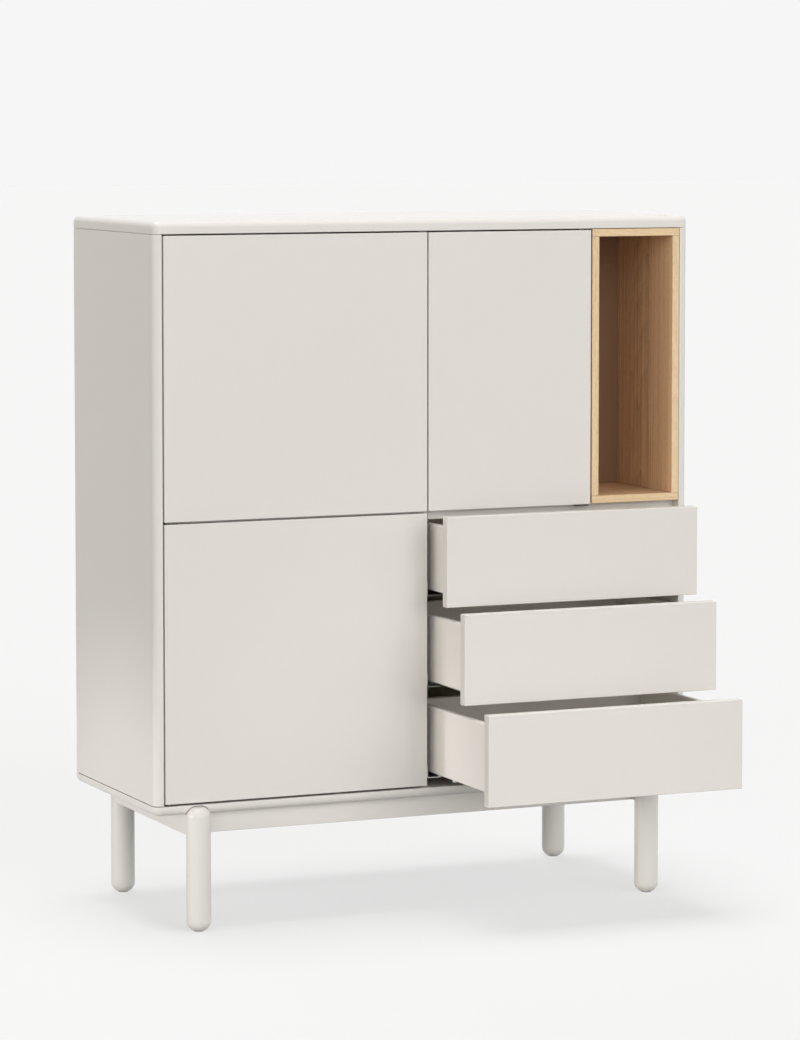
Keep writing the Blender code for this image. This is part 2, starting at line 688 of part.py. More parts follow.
def main():
    clear_scene()
    lacquer = finish("cream_lacquer", (0.76, 0.74, 0.70), 0.45)
    oak = finish("natural_oak", (0.48, 0.31, 0.18), 0.55)
    backing = finish("painted_backing", (0.72, 0.70, 0.66), 0.7)
    steel = finish("zinc_steel", (0.55, 0.55, 0.55), 0.35, 1.0)
    plastic = finish("grey_plastic", (0.30, 0.30, 0.30), 0.5)
    cabinet = frame_empty("cabinet", (-WIDTH / 2, FRONT_PLANE, 0))
    boards = build_carcass(cabinet, lacquer, backing)
    build_niche(cabinet, oak)
    build_base(cabinet, lacquer)
    build_doors(cabinet, boards, lacquer, steel, plastic)
    build_drawers(cabinet, (lacquer, backing, steel))


main()
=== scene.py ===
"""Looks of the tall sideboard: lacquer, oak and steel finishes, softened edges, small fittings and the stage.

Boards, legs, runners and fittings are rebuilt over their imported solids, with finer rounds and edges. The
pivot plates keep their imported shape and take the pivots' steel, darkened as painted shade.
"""

import functools
import json
import math

import bmesh
import bpy
from mathutils import Matrix, Vector

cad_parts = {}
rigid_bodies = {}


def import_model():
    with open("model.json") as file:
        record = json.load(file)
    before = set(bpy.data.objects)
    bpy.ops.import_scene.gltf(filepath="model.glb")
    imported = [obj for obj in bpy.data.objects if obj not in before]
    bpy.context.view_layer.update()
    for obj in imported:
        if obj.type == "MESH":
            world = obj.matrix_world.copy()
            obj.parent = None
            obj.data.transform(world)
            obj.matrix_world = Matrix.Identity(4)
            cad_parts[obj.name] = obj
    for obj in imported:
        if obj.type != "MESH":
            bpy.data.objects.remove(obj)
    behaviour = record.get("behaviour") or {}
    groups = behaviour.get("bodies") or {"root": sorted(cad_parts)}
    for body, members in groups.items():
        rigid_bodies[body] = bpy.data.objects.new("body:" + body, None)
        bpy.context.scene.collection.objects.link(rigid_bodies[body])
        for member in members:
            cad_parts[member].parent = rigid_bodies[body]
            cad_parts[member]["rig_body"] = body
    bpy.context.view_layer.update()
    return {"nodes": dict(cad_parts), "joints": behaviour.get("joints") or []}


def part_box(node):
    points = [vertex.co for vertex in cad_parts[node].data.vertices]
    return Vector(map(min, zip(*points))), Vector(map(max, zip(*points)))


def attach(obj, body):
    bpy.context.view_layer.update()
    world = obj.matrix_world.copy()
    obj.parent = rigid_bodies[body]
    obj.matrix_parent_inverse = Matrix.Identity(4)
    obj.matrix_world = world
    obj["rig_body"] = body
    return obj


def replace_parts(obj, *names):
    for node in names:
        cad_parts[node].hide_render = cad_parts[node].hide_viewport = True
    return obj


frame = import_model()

bl_info = {
    "name": "Tall Sideboard",
    "version": (1, 0, 0),
    "blender": (4, 5, 0),
    "location": "View3D > Sidebar > Sideboard",
    "description": "Dresses the tall sideboard with its finishes, fittings and stage",
    "category": "Object",
}

# Axes and tolerances; a face looks to the front where its normal's Y is below FRONT_FACING
X, Y, Z = 0, 1, 2
SAME_PLACE = 1e-6
SHARP_EDGE = math.radians(35)
CORNER_ANGLE = math.radians(50)
FRONT_FACING = -0.3
SEAT = 0.0003

# Steps of the round forms
CORNER_STEPS = 12
RIM_STEPS = 10
ARRIS_STEPS = 4
LEG_SIDES = 96
LEG_ROUND_STEPS = 14
PIN_SIDES = 32
DISC_SIDES = 48
BORE_SIDES = 20
FOLD_STEPS = 5
WALL_ROUND_STEPS = 5

# Fits, chamfers and small sizes
COVE_ROOM = 0.0012
SHELF_BORE_START = 0.002
SHELF_PIN_ROOM = 0.0001
SHELF_PIN_FROM_END = 0.037
SHELF_PIN_CHAMFER = 0.0005
LEG_TOP_CHAMFER = 0.001
GLIDE_CHAMFER = 0.0002
PIN_RADIUS = 0.002
PIN_REACH = 0.010
PIN_CHAMFER = 0.0004
LATCH_BORE_ROOM = 0.0004
LATCH_ROUND = 0.0012
PLUNGER_CHAMFER = 0.0006
STRIKE_DEPTH = 0.0006
STRIKE_PROUD = 0.0001
STRIKE_ROOM = 0.0001
DRAWER_WALL = 0.012

# Places of the screws and the runners' clips
BACK_SCREW_ROWS = 4
BACK_SCREW_COLUMNS = 3
SCREW_FROM_EDGE = 0.030
LATCH_SCREW_FROM_END = 0.006
PLATE_SCREW_FROM_END = (0.006, 0.018)
PLATE_SCREW_ASIDE = 0.00925
PLATE_PIN_INSET = 0.005
PLATE_BELOW_SHELF = 0.00175
RAIL_SCREW_FROM_END = (0.050, 0.180)
CLIP_BEHIND_FRONT = (0.196, 0.259)
CLIP_UNDER_WALL = 0.0012
CLIP_OVER_RAIL = 0.0007
CLIP_ROUND = 0.0006

# Outline of a screw's head from its axis, and its cross recess, as shares of the head's radius and height
SCREW_OUTLINE = ((0.0, 1.0), (0.55, 0.94), (0.85, 0.66), (1.0, 0.2), (0.97, 0.0), (0.0, 0.0))
CROSS_REACH = 0.52
CROSS_HALF_WIDTH = 0.11
CROSS_FLOOR = 0.35

# Oak: width of a growth ring, half the width of the joint between two leaves of veneer, and how far apart the
# arches of the two leaves stand
RING_WIDTH = 0.0047
VENEER_JOINT = 0.0004
LEAF_SHIFT = 0.16

# Figure of the oak: axes across, through and along the grain, middle of the arches, distance from the pith,
# place of the veneer joint, strength of the rings, depth of tone and strength of the pores. On the boards,
# depth of tone is painted shade inside the niche: most on the back board and a little on the top and bottom
# boards
OAK_BOARDS = {
    "upright": ("YXZ", 0.036, 0.075, 0.004, 0.18, 0.04, 0.25),
    "back": ("XYZ", 0.160, 0.090, 0.300, 0.18, 0.92, 0.25),
    "level": ("YZX", 0.260, 0.090, 0.300, 0.18, 0.22, 0.25),
}
OAK_EDGES = {
    "upright": ("XYZ", 0.300, 0.110, 0.600, 0.22, 0.04, 0.60),
    "level": ("ZYX", 0.900, 0.110, 1.500, 0.22, 0.16, 0.60),
}
OAK_KIND = {"top": "level", "bottom": "level", "left": "upright", "right": "upright", "back": "back"}

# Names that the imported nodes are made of, and the way into the cabinet from each side
LEFT_DOORS = ("upper_left", "lower_left")
MIDDLE_DOORS = ("upper_middle",)
DOORS = LEFT_DOORS + MIDDLE_DOORS
DRAWERS = ("drawer_1", "drawer_2", "drawer_3")
ENDS = ("front", "back")
SIDES = ("left", "right")
INWARD = {"left": 1, "right": -1}

# Boards to the left and right of the loose shelf behind each door
SHELF_WALLS = {
    "upper_left": ("left_side_panel", "centre_divider"),
    "lower_left": ("left_side_panel", "centre_divider"),
    "upper_middle": ("centre_divider", "niche_divider"),
}

# Each pivot plate with the fixed shelf that it is let into and the way from its pin to its screws
PIVOT_PLATES = (
    ("left_pivot_plate", "left_fixed_shelf", 1),
    ("middle_pivot_plate", "right_fixed_shelf", -1),
)

# Camera, in metres and radians; its lens and sensor in millimetres
CAMERA_PLACE = (-2.8131, -6.34022, 1.38346)
CAMERA_YAW = math.radians(23.7815)
CAMERA_PITCH = math.radians(4.1071)
CAMERA_LENS = 139.569
CAMERA_SENSOR = 36.0
CAMERA_SHIFT = -0.12
CAMERA_REACH = 100.0

# Floor, and strength of the light from all round
FLOOR_REACH = 60.0
FLOOR_DROP = 0.0002
AMBIENT = 0.15

# Far lamps: name, tint, share of full light, degrees to the right of the cabinet's front, degrees up, spread
# in degrees, and whether the lamp shows in a gloss
SUNS = (
    ("overhead_light", "plain_light", 0.565, 180.0, 85.0, 30.0, True),
    ("front_light", "plain_light", 0.42, 8.0, 16.0, 50.0, False),
    ("right_front_light", "plain_light", 0.22, 38.0, 14.0, 50.0, False),
    ("left_front_light", "plain_light", 0.26, -42.0, 10.0, 45.0, False),
    ("right_light", "plain_light", 0.17, 80.0, 6.0, 60.0, False),
    ("left_light", "warm_light", 0.232, -78.0, 6.0, 22.0, False),
    ("back_light", "plain_light", 0.16, 180.0, 35.0, 40.0, False),
)

# Spots on stands: name, watts, place, aim, cone in degrees, softness of its rim, radius of the lamp
SPOTS = (
    ("low_fill", 315.0, (-5.5, 0.3, 0.12), (-0.5, 0.08, 0.05), 9.2, 0.25, 0.15),
    ("low_front_fill", 80.0, (0.9, -6.0, 0.10), (0.05, 0.0, 0.10), 11.0, 0.60, 0.20),
)


# Settings that a user may change


def length(name, description, default):
    return bpy.props.FloatProperty(
        name=name, description=description, default=default, min=0.0, precision=5, unit="LENGTH"
    )


def colour(name, description, default):
    return bpy.props.FloatVectorProperty(
        name=name, description=description, default=default, size=3, min=0.0, max=1.0, subtype="COLOR"
    )


class SideboardSizes(bpy.types.PropertyGroup):
    """Rounds, softened edges and fittings, in metres"""

    corner_round: length("Corner round", "Radius of the upright front corners", 0.014)
    top_round: length("Top rim", "Radius along the top board's upper rim", 0.010)
    bottom_round: length("Bottom rim", "Radius along the bottom board's lower rim", 0.012)
    bottom_seam: length("Bottom seam", "Shadow line between a side and the bottom board", 0.0007)
    board_arris: length("Board edges", "Softening of the carcass boards' edges", 0.0012)
    front_arris: length("Front edges", "Softening of the doors' and drawer fronts' edges", 0.0013)
    oak_arris: length("Oak edges", "Softening of the niche boards' edges", 0.0005)
    wall_round: length("Drawer rim", "Radius along the upper rim of a drawer's walls", 0.003)
    leg_round: length("Leg ends", "Radius at the ends of a leg", 0.0168)
    glide_radius: length("Glide radius", "Radius of the glide under a leg", 0.009)
    glide_height: length("Glide height", "Thickness of the glide under a leg", 0.001)
    pin_room: length("Pin room", "Room round a pivot pin in its bore", 0.0003)
    sheet: length("Sheet", "Thickness of the runners' sheet steel", 0.0015)
    fold_round: length("Fold", "Inner radius of the runners' folds", 0.0008)
    track_width: length("Track", "Width of the track that a drawer's rail slides on", 0.010)
    shelf_pin_radius: length("Shelf pin", "Radius of a pin under a loose shelf", 0.0025)
    shelf_pin_depth: length("Shelf pin bore", "Depth of a shelf pin's bore", 0.008)
    shelf_pin_reach: length("Shelf pin reach", "How far a shelf pin stands out of its board", 0.009)
    shelf_pin_pitch: length("Shelf pin pitch", "Distance between the bores of one row", 0.032)
    screw_radius: length("Screw head", "Radius of a screw's head", 0.0034)
    screw_height: length("Screw head height", "Height of a screw's head", 0.0012)
    strike_radius: length("Strike", "Radius of the strike plate that a latch pushes on", 0.007)
    clip_length: length("Clip length", "Length of a runner's nylon clip", 0.006)
    clip_width: length("Clip width", "Width of a runner's nylon clip", 0.005)


class SideboardColours(bpy.types.PropertyGroup):
    """Colours of the finishes, the stage and its light"""

    lacquer: colour("Lacquer", "Cream lacquer of boards, fronts and legs", (0.735, 0.708, 0.672))
    # The drawers' walls are paler than the lacquer: painted light for the light on their outer sides
    foil_with_painted_light: colour("Foil", "Pale foil of the drawers' wrapped walls", (0.83, 0.805, 0.775))
    oak_pale: colour("Oak, pale", "Early wood of the oak veneer", (0.80, 0.545, 0.325))
    oak_deep: colour("Oak, deep", "Late wood and pores of the oak veneer", (0.26, 0.148, 0.085))
    edge_pale: colour("Oak edge, pale", "Early wood of the oak front edges", (0.82, 0.62, 0.385))
    edge_deep: colour("Oak edge, deep", "Late wood and pores of the front edges", (0.58, 0.39, 0.215))
    # The backing's warm, dull tone is partly the hardboard's own and partly painted shade for the drawers'
    # insides
    backing_with_painted_shade: colour("Backing", "Painted hardboard of the back and drawer bottoms", (0.70, 0.655, 0.545))
    steel: colour("Steel", "Zinc plated steel of runners and screws", (0.66, 0.66, 0.64))
    # The pivots' steel is darkened: painted shade, so that the pins read as the shade of the door gaps
    shade_darkened_pivot_steel: colour("Pivot steel", "Greased steel of the pivots", (0.16, 0.155, 0.145))
    nylon: colour("Nylon", "White nylon of the runners' clips", (0.82, 0.81, 0.78))
    plastic: colour("Plastic", "Moulded plastic of the latches", (0.30, 0.30, 0.295))
    glide: colour("Glide", "Felt of the glides", (0.42, 0.405, 0.375))
    floor: colour("Floor", "Pale studio floor", (0.28, 0.282, 0.284))
    backdrop: colour("Backdrop", "Pale surround of the studio", (0.92, 0.92, 0.92))
    glow: colour("Floor glow", "Light that the floor shows of itself", (0.620, 0.620, 0.622))
    all_round_light: colour("Light all round", "Light from all round", (1.0, 0.94, 0.80))
    warm_light: colour("Warm light", "Light from the left", (1.0, 0.93, 0.80))
    plain_light: colour("Plain light", "Light of the other lamps", (1.0, 1.0, 1.0))


# Shader nodes


def arithmetic(operation):
    """An operator on tones that adds a Math node, and its reflected form."""

    def forward(tone, other):
        return tone.nodes.math(operation, tone, other)

    def reflected(tone, other):
        return tone.nodes.math(operation, other, tone)

    return forward, reflected


class Tone:
    """A shader socket whose arithmetic becomes Math nodes."""

    __add__, __radd__ = arithmetic("ADD")
    __sub__, __rsub__ = arithmetic("SUBTRACT")
    __mul__, __rmul__ = arithmetic("MULTIPLY")
    __truediv__, __rtruediv__ = arithmetic("DIVIDE")
    __pow__, __rpow__ = arithmetic("POWER")

    def __init__(self, nodes, socket):
        self.nodes = nodes
        self.socket = socket

    def math(self, operation, *values):
        return self.nodes.math(operation, self, *values)


class NodeTree:
    """The nodes of one material or world, added one call at a time."""

    def __init__(self, owner):
        owner.use_nodes = True
        self.tree = owner.node_tree
        self.tree.nodes.clear()

    def node(self, kind, settings=None, sockets=None, output=0):
        """Adds a node: its settings come first, then the values or links of its sockets."""
        made = self.tree.nodes.new(kind)
        for key, value in (settings or {}).items():
            setattr(made, key, value)
        for key, value in (sockets or {}).items():
            target = self.find(made.inputs, key)
            if isinstance(value, Tone):
                self.tree.links.new(value.socket, target)
            else:
                target.default_value = value
        if not made.outputs:
            return None
        return Tone(self, self.find(made.outputs, output))

    @staticmethod
    def find(sockets, key):
        shown = [socket for socket in sockets if socket.enabled]
        if isinstance(key, int):
            return shown[key]
        return next(socket for socket in shown if socket.name == key)

    def math(self, operation, *values):
        return self.node("ShaderNodeMath", {"operation": operation}, dict(enumerate(values)))

    def mix(self, share, first, second):
        """A colour between two colours."""
        return self.node(
            "ShaderNodeMix",
            {"data_type": "RGBA", "clamp_factor": True},
            {"Factor": share, "A": solid(first), "B": solid(second)},
        )

    def shades(self, share, base, dark, light):
        """A colour between a darker and a lighter shade of one colour."""
        return self.mix(share, shade(base, dark), shade(base, light))

    def places(self):
        """The three coordinates of a point on the piece, in metres."""
        point = self.node("ShaderNodeTexCoord", output="Object")
        return [self.node("ShaderNodeSeparateXYZ", None, {0: point}, axis) for axis in "XYZ"]

    def noise(self, parts, detail=2.0, roughness=0.5):
        """Noise at a point that is given by its three parts."""
        point = self.node("ShaderNodeCombineXYZ", None, dict(enumerate(parts)))
        sockets = {"Vector": point, "Scale": 1.0, "Detail": detail, "Roughness": roughness}
        return self.node("ShaderNodeTexNoise", None, sockets)

    def speckle(self, scale, detail=2.0, roughness=0.5):
        """Noise that is equally fine in every direction."""
        return self.noise([part * scale for part in self.places()], detail, roughness)

    def between(self, value, low, high):
        """0 below low, 1 above high and smooth between them."""
        return self.node(
            "ShaderNodeMapRange",
            {"interpolation_type": "SMOOTHSTEP"},
            {"Value": value, "From Min": low, "From Max": high},
        )

    def bump(self, height, strength, distance):
        sockets = {"Strength": strength, "Distance": distance, "Height": height}
        return self.node("ShaderNodeBump", None, sockets)


def solid(value):
    return value if isinstance(value, Tone) else (*value, 1.0)


def shade(base, factor):
    """A colour made darker or lighter."""
    return tuple(min(1.0, part * factor) for part in base)


def palette():
    return bpy.context.scene.sideboard_colours


def sizes():
    return bpy.context.scene.sideboard_sizes


# Finishes


def finish_named(name):
    """Turns a paint function into one that gives its material, made the first time and then shared."""

    def wrap(paint):
        @functools.wraps(paint)
        def shared(*kinds):
            full_name = "_".join((name, *kinds))
            material = bpy.data.materials.get(full_name)
            if material is None:
                material = bpy.data.materials.new(full_name)
                nodes = NodeTree(material)
                shader = nodes.node("ShaderNodeBsdfPrincipled", None, paint(nodes, *kinds))
                nodes.node("ShaderNodeOutputMaterial", None, {"Surface": shader})
            return material

        return shared

    return wrap


@finish_named("sprayed_cream_lacquer")
def lacquer(nodes):
    """Sprayed cream lacquer: a silky film with faint clouds and a fine orange peel."""
    clouds = nodes.speckle(3.0, 3.0)
    patches = nodes.speckle(55.0)
    peel = nodes.speckle(900.0, 1.0)
    return {
        "Base Color": nodes.shades(clouds * 0.7 + patches * 0.3, palette().lacquer, 0.982, 1.018),
        "Roughness": 0.33 + 0.07 * patches + 0.04 * clouds,
        "Normal": nodes.bump(peel, 0.05, 0.0006),
        "Coat Weight": 0.5,
        "Coat Roughness": 0.09,
    }


@finish_named("wrapped_foil")
def foil_with_painted_light(nodes):
    """Cream of the drawers' walls, paler than the lacquer as painted light for their lit sides, with a fine
    printed tooth.
    """
    tooth = nodes.speckle(700.0)
    clouds = nodes.speckle(6.0)
    return {
        "Base Color": nodes.shades(clouds * 0.6 + tooth * 0.4, palette().foil_with_painted_light, 0.975, 1.02),
        "Roughness": 0.40 + 0.10 * tooth,
        "Normal": nodes.bump(tooth, 0.07, 0.0004),
    }


def wood(nodes, pale, deep, axes, arch, pith, joint, rings, depth, pore_strength):
    """Sliced oak with growth rings, streaks, pores and rays, on two leaves of veneer that meet at a joint."""
    places = dict(zip("XYZ", nodes.places()))
    across, through, run = (places[axis] for axis in axes)
    leaf = nodes.between(across, joint - VENEER_JOINT, joint + VENEER_JOINT)
    sway = nodes.noise((across * 7.0 + leaf * 5.0, through * 7.0, run * 1.8)) - 0.5
    ripple = nodes.noise((across * 130.0, through * 130.0, run * 5.0 + leaf * 3.0)) - 0.5
    out = across - arch - (1.0 - leaf) * LEAF_SHIFT + sway * 0.040
    rise = run * 0.060 + sway * 0.030 + pith
    ring = (out * out + rise * rise).math("SQRT") / RING_WIDTH + ripple * 0.9
    late = ring.math("FRACT") ** 1.6
    seams = nodes.noise((across * 420.0 + leaf * 9.0, through * 90.0, run * 1.5))
    streak = nodes.noise((across * 95.0 + leaf * 9.0, through * 40.0, run * 1.1))
    fibre = nodes.noise((across * 1300.0, through * 1300.0, run * 18.0), 3.0)
    pore = nodes.noise((across * 1500.0, through * 1500.0, run * 95.0), 1.0)
    pores = nodes.between(pore, 0.58, 0.70)
    flake = nodes.noise((across * 420.0, through * 420.0, run * 60.0), 1.0)
    flakes = nodes.between(flake, 0.62, 0.74)
    grain = late * rings + (seams - 0.5) * 0.85 + (streak - 0.5) * 0.70 + (fibre - 0.5) * 0.35
    # depth darkens the tone; on the niche's back board, and less on its top and bottom boards, it is painted
    # shade
    share = grain + pores * pore_strength - flakes * 0.14 + leaf * 0.22 + depth
    return {
        "Base Color": nodes.mix(share.math("MAXIMUM", 0.0), pale, deep),
        "Roughness": 0.46 + 0.16 * pores + 0.06 * fibre,
        "Normal": nodes.bump(1.0 - pores * 0.7 - late * 0.2 + fibre * 0.2, 0.20, 0.0004),
        "Coat Weight": 0.04,
        "Coat Roughness": 0.35,
    }


@finish_named("oak_veneer")
def oak(nodes, kind):
    """Oak veneer of one kind of niche board, darkened most on the back board and a little on the top and
    bottom boards, as painted shade.
    """
    return wood(nodes, palette().oak_pale, palette().oak_deep, *OAK_BOARDS[kind])


@finish_named("oak_front_edge")
def oak_edge(nodes, kind):
    """The paler solid oak of the niche's front edges."""
    return wood(nodes, palette().edge_pale, palette().edge_deep, *OAK_EDGES[kind])


@finish_named("painted_hardboard")
def backing_with_painted_shade(nodes):
    """Painted hardboard: matt, with short pressed fibres, and a warm tone that is partly painted shade for
    the drawers' insides.
    """
    x, y, z = nodes.places()
    fibres = nodes.noise((x * 420.0, y * 420.0, z * 260.0), 4.0, 0.62)
    blotches = nodes.speckle(7.0)
    return {
        "Base Color": nodes.shades(fibres * 0.6 + blotches * 0.4, palette().backing_with_painted_shade, 0.93, 1.05),
        "Roughness": 0.58 + 0.16 * fibres,
        "Normal": nodes.bump(fibres, 0.16, 0.0005),
    }


@finish_named("zinc_plated_steel")
def steel(nodes):
    """Zinc plated steel: rolled along the runners, with a faint cloudy bloom."""
    x, y, z = nodes.places()
    rolled = nodes.noise((x * 2600.0, y * 40.0, z * 2600.0))
    bloom = nodes.speckle(130.0, 3.0)
    return {
        "Base Color": nodes.shades(bloom, palette().steel, 0.86, 1.10),
        "Metallic": 1.0,
        "Roughness": 0.24 + 0.16 * bloom + 0.10 * rolled,
        "Normal": nodes.bump(rolled, 0.06, 0.0003),
    }


@finish_named("greased_pivot_steel")
def shade_darkened_pivot_steel(nodes):
    """Steel of the pivots, darkened as painted shade so that the pins read as the shade of the door gaps,
    with wiped streaks and blotches.
    """
    x, y, z = nodes.places()
    wiped = nodes.noise((x * 500.0, y * 500.0, z * 60.0), 3.0)
    grease = nodes.speckle(260.0)
    return {
        "Base Color": nodes.shades(grease, palette().shade_darkened_pivot_steel, 0.7, 1.4),
        "Metallic": 0.8,
        "Roughness": 0.42 + 0.2 * wiped,
        "Normal": nodes.bump(wiped, 0.1, 0.0003),
    }


def moulded(nodes, base):
    """Moulded plastic with a fine spark-eroded grain."""
    grain = nodes.speckle(1800.0)
    haze = nodes.speckle(90.0)
    return {
        "Base Color": nodes.shades(haze, base, 0.9, 1.1),
        "Roughness": 0.42 + 0.18 * grain,
        "Normal": nodes.bump(grain, 0.12, 0.0003),
    }


@finish_named("moulded_grey_plastic")
def plastic(nodes):
    """Grey plastic of the latches."""
    return moulded(nodes, palette().plastic)


@finish_named("moulded_white_nylon")
def nylon(nodes):
    """White nylon of the runners' clips."""
    return moulded(nodes, palette().nylon)


@finish_named("pressed_felt")
def felt(nodes):
    """Pressed felt of the glides."""
    tufts = nodes.speckle(2200.0, 4.0, 0.7)
    return {
        "Base Color": nodes.shades(tufts, palette().glide, 0.6, 1.5),
        "Roughness": 0.86 + 0.1 * tufts,
        "Normal": nodes.bump(tufts, 0.5, 0.0005),
    }


# Mesh building


def box_between(low, high):
    """A box as a bmesh from its low to its high corner."""
    builder = bmesh.new()
    bmesh.ops.create_cube(builder, size=1.0)
    for vertex in builder.verts:
        vertex.co = [(a + b) / 2 + c * (b - a) for a, b, c in zip(low, high, vertex.co)]
    return builder


def lies_at(edge, axis, value):
    return all(abs(vertex.co[axis] - value) < SAME_PLACE for vertex in edge.verts)


def round_over(builder, edges, radius, steps):
    bmesh.ops.bevel(
        builder,
        geom=list(edges),
        offset=radius,
        offset_type="OFFSET",
        segments=steps,
        profile=0.5,
        affect="EDGES",
        clamp_overlap=True,
    )


def soften(builder, radius):
    """Breaks every edge that is still sharp."""
    sharp = [edge for edge in builder.edges if edge.is_manifold and edge.calc_face_angle() > CORNER_ANGLE]
    round_over(builder, sharp, radius, ARRIS_STEPS)


def softened_box(low, high, radius):
    builder = box_between(low, high)
    soften(builder, radius)
    return builder


def softened(node, radius):
    """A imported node's box with softened edges."""
    return softened_box(*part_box(node), radius)


def turned(profile, sides, place=(0, 0, 0), axis=Z):
    """A profile of (radius, height) pairs, from axis to axis, spun about an axis through a place."""
    builder = bmesh.new()
    points = [builder.verts.new((radius, 0, height)) for radius, height in profile]
    edges = [builder.edges.new(pair) for pair in zip(points, points[1:])]
    bmesh.ops.spin(builder, geom=points + edges, axis=(0, 0, 1), angle=2 * math.pi, steps=sides)
    bmesh.ops.remove_doubles(builder, verts=builder.verts, dist=SAME_PLACE)
    lean = {Z: Matrix(), X: Matrix.Rotation(math.pi / 2, 4, "Y"), Y: Matrix.Rotation(-math.pi / 2, 4, "X")}
    builder.transform(Matrix.Translation(place) @ lean[axis])
    bmesh.ops.recalc_face_normals(builder, faces=builder.faces)
    return builder


def rod(radius, start, end, place, axis=Z, chamfer=0.0, sides=PIN_SIDES):
    """A round rod between two values of its axis, with its ends broken by a chamfer."""
    profile = [(0.0, end), (radius - chamfer, end)]
    if chamfer:
        profile += [(radius, end - chamfer), (radius, start + chamfer)]
    profile += [(radius - chamfer, start), (0.0, start)]
    centre = list(place)
    centre[axis] = 0.0
    return turned(profile, sides, centre, axis)


def prism(outline, axes, start, end):
    """An outline in two axes, drawn out along the third."""
    third = 3 - sum(axes)
    builder = bmesh.new()
    points = []
    for pair in outline:
        place = [0.0, 0.0, 0.0]
        place[axes[0]], place[axes[1]] = pair
        place[third] = start
        points.append(builder.verts.new(place))
    face = builder.faces.new(points)
    drawn = bmesh.ops.extrude_face_region(builder, geom=[face])["geom"]
    shift = [0.0, 0.0, 0.0]
    shift[third] = end - start
    moved = [part for part in drawn if isinstance(part, bmesh.types.BMVert)]
    bmesh.ops.translate(builder, vec=shift, verts=moved)
    bmesh.ops.recalc_face_normals(builder, faces=builder.faces)
    return builder


def gathered(builders):
    """Several shapes as one builder."""
    whole = bmesh.new()
    for builder in builders:
        mesh = mesh_of(builder, "gathered")
        whole.from_mesh(mesh)
        bpy.data.meshes.remove(mesh)
    return whole


def mesh_of(builder, name):
    mesh = bpy.data.meshes.new(name)
    builder.to_mesh(mesh)
    builder.free()
    return mesh


def placed(name, data):
    """A new object in the scene."""
    item = bpy.data.objects.new(name, data)
    bpy.context.scene.collection.objects.link(item)
    return item


def carved(builder, tools):
    """The builder's shape less the tools' shapes."""
    target = placed("carved", mesh_of(builder, "carved"))
    cutter = placed("cutter", mesh_of(gathered(tools), "cutter"))
    step = target.modifiers.new("carve", "BOOLEAN")
    step.operation = "DIFFERENCE"
    step.solver = "EXACT"
    step.object = cutter
    bpy.context.view_layer.update()
    result = bmesh.new()
    result.from_object(target, bpy.context.evaluated_depsgraph_get())
    for item in (target, cutter):
        mesh = item.data
        bpy.data.objects.remove(item)
        bpy.data.meshes.remove(mesh)
    return result


def scattered(builder, places, turn):
    """Copies of one shape, turned and set at several places."""
    copies = []
    for place in places:
        copies.append(builder.copy())
        copies[-1].transform(Matrix.Translation(place) @ turn)
    builder.free()
    return gathered(copies)


def spaced(start, end, count):
    """Evenly spaced values from start to end."""
    return [start + (end - start) * step / (count - 1) for step in range(count)]


def body_of(node):
    return frame["nodes"][node]["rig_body"]


def middle(node):
    low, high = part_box(node)
    return (low + high) / 2


def radius_of(node):
    """Half the width of a round node."""
    low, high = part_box(node)
    return (high.x - low.x) / 2


def piece(name, builder, finishes, body):
    """A finished piece that rides on its body."""
    bmesh.ops.recalc_face_normals(builder, faces=builder.faces)
    mesh = mesh_of(builder, name)
    mesh.shade_smooth()
    mesh.set_sharp_from_angle(angle=SHARP_EDGE)
    for finish in finishes:
        mesh.materials.append(finish)
    item = placed(name, mesh)
    flat = item.modifiers.new("flat_faces", "WEIGHTED_NORMAL")
    flat.keep_sharp = True
    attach(item, body)
    return item


def finished(node, builder, finishes):
    """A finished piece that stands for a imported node."""
    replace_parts(piece(f"finished_{node}", builder, finishes, body_of(node)), node)


def lacquered(node, builder):
    finished(node, builder, [lacquer()])


def screws(name, places, out):
    """Domed screw heads with a cross recess at several places on the cabinet, standing out along an axis."""
    radius, height = sizes().screw_radius, sizes().screw_height
    head = turned([(radius * wide, height * high) for wide, high in SCREW_OUTLINE], BORE_SIDES)
    reach, half, floor = radius * CROSS_REACH, radius * CROSS_HALF_WIDTH, height * CROSS_FLOOR
    for across, along in ((reach, half), (half, reach)):
        head = carved(head, [box_between((-across, -along, floor), (across, along, height * 2))])
    heads = scattered(head, places, Vector(out).to_track_quat("Z", "Y").to_matrix().to_4x4())
    piece(name, heads, [steel()], "cabinet")


# Carcass


def round_corner(builder, side, front):
    """Rounds the upright edge at a front corner."""
    upright = [edge for edge in builder.edges if lies_at(edge, X, side) and lies_at(edge, Y, front)]
    round_over(builder, upright, sizes().corner_round, CORNER_STEPS)


def slab(node, rim_at_top, rim_round):
    """The top or bottom board: round front corners, and a rim rounded on all sides but the back."""
    low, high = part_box(node)
    builder = box_between(low, high)
    for side in (low.x, high.x):
        round_corner(builder, side, low.y)
    rim_height = high.z if rim_at_top else low.z
    rim = [edge for edge in builder.edges if lies_at(edge, Z, rim_height) and not lies_at(edge, Y, high.y)]
    round_over(builder, rim, rim_round, RIM_STEPS)
    soften(builder, sizes().board_arris)
    return builder


def pin_bore(pin):
    """The tool for the bore round a pivot pin."""
    low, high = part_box(pin)
    room = sizes().pin_room
    return rod(radius_of(pin) + room, low.z - room, high.z + room, middle(pin))


class SIDEBOARD_OT_top_panel(bpy.types.Operator):
    """Top board with its rounded rim and front corners"""

    bl_idname = "sideboard.top_panel"
    bl_label = "Top Board"

    def execute(self, context):
        builder = slab("top_panel", True, sizes().top_round)
        bores = [pin_bore(pin) for pin in ("upper_left_pivot_pin", "upper_middle_pivot_pin")]
        lacquered("top_panel", carved(builder, bores))
        return {"FINISHED"}


